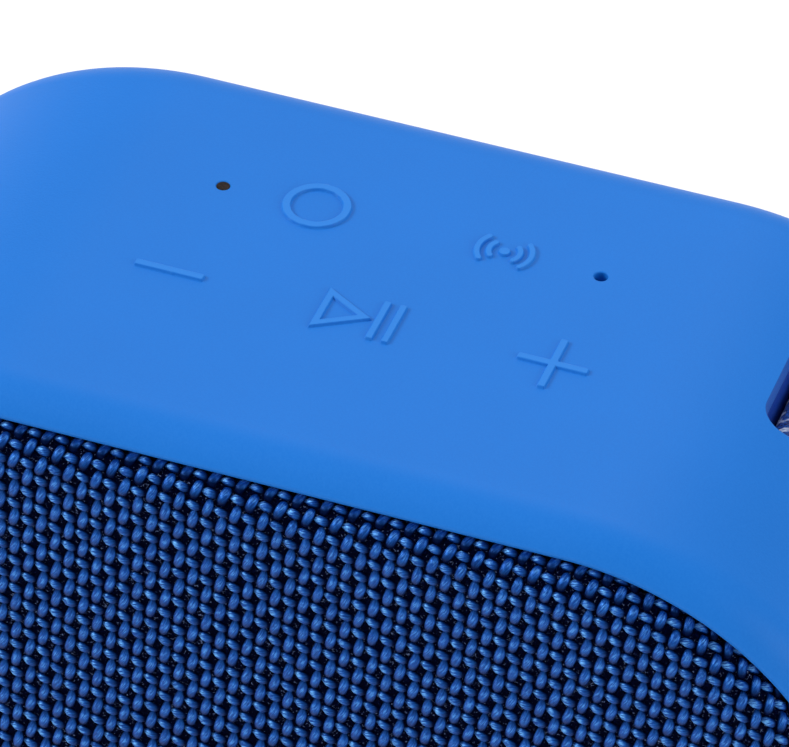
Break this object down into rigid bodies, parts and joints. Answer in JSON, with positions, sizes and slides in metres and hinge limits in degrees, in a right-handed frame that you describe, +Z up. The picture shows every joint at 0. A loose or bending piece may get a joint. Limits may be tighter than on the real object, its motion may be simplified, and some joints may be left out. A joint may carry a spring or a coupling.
{
  "type": "compact portable speaker",
  "caption": "Pocket-size portable loudspeaker: block with large rounded corners in a soft silicone skin, woven cloth front, raised-symbol keys on top and a woven carry loop.",
  "frame": {"origin": "middle of the base pad's underside, on the surface the speaker stands on, half way across the body and the depth of its skin", "axes": "+X to the speaker's right seen from the front, +Y from the cloth front to the back, +Z up"},
  "size_m": [0.0977, 0.044, 0.0752],
  "materials": {
    "blue_silicone": "matte",
    "blue_cloth": "woven",
    "woven_strap": "woven",
    "dark_housing": "matte",
    "black_rubber": "matte",
    "grille_plastic": "matte",
    "steel": "satin",
    "magnet": "plated",
    "paper_cone": "matte",
    "spider_cloth": "impregnated",
    "copper_coil": "enamelled",
    "radiator_metal": "anodised",
    "circuit_board": "solder mask",
    "chip_plastic": "moulded",
    "connector_plastic": "moulded",
    "smoked_lens": "gloss",
    "cell_foil": "foil",
    "lead_sleeve": "satin"
  },
  "bodies": {
    "housing": {"silicone_skin": "blue_silicone", "grille_cloth": "blue_cloth", "rear_shell": "dark_housing", "front_baffle": "dark_housing", "strap_cup": "dark_housing", "battery_tray": "dark_housing", "radiator_frame": "dark_housing", "base_foot": "black_rubber", "seal_ring": "black_rubber", "radiator_surround": "black_rubber", "driver_surround": "black_rubber", "mic_gasket": "black_rubber", "grille_panel": "grille_plastic", "strap_bar": "steel", "driver_frame": "steel", "driver_yoke": "steel", "driver_screws": "steel", "housing_screws": "steel", "key_board_screws": "steel", "board_screws": "steel", "usb_socket": "steel", "driver_magnet": "magnet", "driver_spider": "spider_cloth", "key_board": "circuit_board", "main_board": "circuit_board", "tact_switches": "chip_plastic", "board_chips": "chip_plastic", "microphone": "chip_plastic", "lead_sockets": "connector_plastic", "status_led": "connector_plastic", "led_lens": "smoked_lens", "battery_cell": "cell_foil", "battery_lead": "lead_sleeve", "speaker_lead": "lead_sleeve", "key_lead": "lead_sleeve"},
    "power_button": {"power_key": "blue_silicone"},
    "pairing_button": {"pairing_key": "blue_silicone"},
    "volume_down_button": {"volume_down_key": "blue_silicone"},
    "play_button": {"play_key": "blue_silicone"},
    "volume_up_button": {"volume_up_key": "blue_silicone"},
    "driver_moving_part": {"driver_cone": "paper_cone", "voice_coil": "copper_coil", "dust_cap": "paper_cone"},
    "radiator": {"radiator_plate": "radiator_metal"},
    "port_cover": {"port_flap": "blue_silicone"},
    "strap": {"carry_strap": "woven_strap"}
  },
  "joints": [
    {"name": "power_press", "type": "slide", "parent": "housing", "child": "power_button", "axis": [0, 0, 1], "range_m": [-0.0003, 0], "stiffness_N_per_m": 200},
    {"name": "pairing_press", "type": "slide", "parent": "housing", "child": "pairing_button", "axis": [0, 0, 1], "range_m": [-0.0003, 0], "stiffness_N_per_m": 200},
    {"name": "volume_down_press", "type": "slide", "parent": "housing", "child": "volume_down_button", "axis": [0, 0, 1], "range_m": [-0.0003, 0], "stiffness_N_per_m": 200},
    {"name": "play_press", "type": "slide", "parent": "housing", "child": "play_button", "axis": [0, 0, 1], "range_m": [-0.0003, 0], "stiffness_N_per_m": 200},
    {"name": "volume_up_press", "type": "slide", "parent": "housing", "child": "volume_up_button", "axis": [0, 0, 1], "range_m": [-0.0003, 0], "stiffness_N_per_m": 200},
    {"name": "cone_travel", "type": "slide", "parent": "housing", "child": "driver_moving_part", "axis": [0, -1, 0], "range_m": [-0.0012, 0.0012], "stiffness_N_per_m": 400},
    {"name": "radiator_travel", "type": "slide", "parent": "housing", "child": "radiator", "axis": [0, 1, 0], "range_m": [-0.0012, 0.0012], "stiffness_N_per_m": 300},
    {"name": "port_cover_hinge", "type": "hinge", "parent": "housing", "child": "port_cover", "pos_m": [-0.009, 0.02175, 0.0127], "axis": [0, 0, 1], "range_deg": [0, 110], "stiffness_Nm_per_rad": 0.001},
    {"name": "strap_swing", "type": "hinge", "parent": "housing", "child": "strap", "pos_m": [0.031, 0.0038, 0.0693], "axis": [0, -1, 0], "range_deg": [0, 110]}
  ]
}
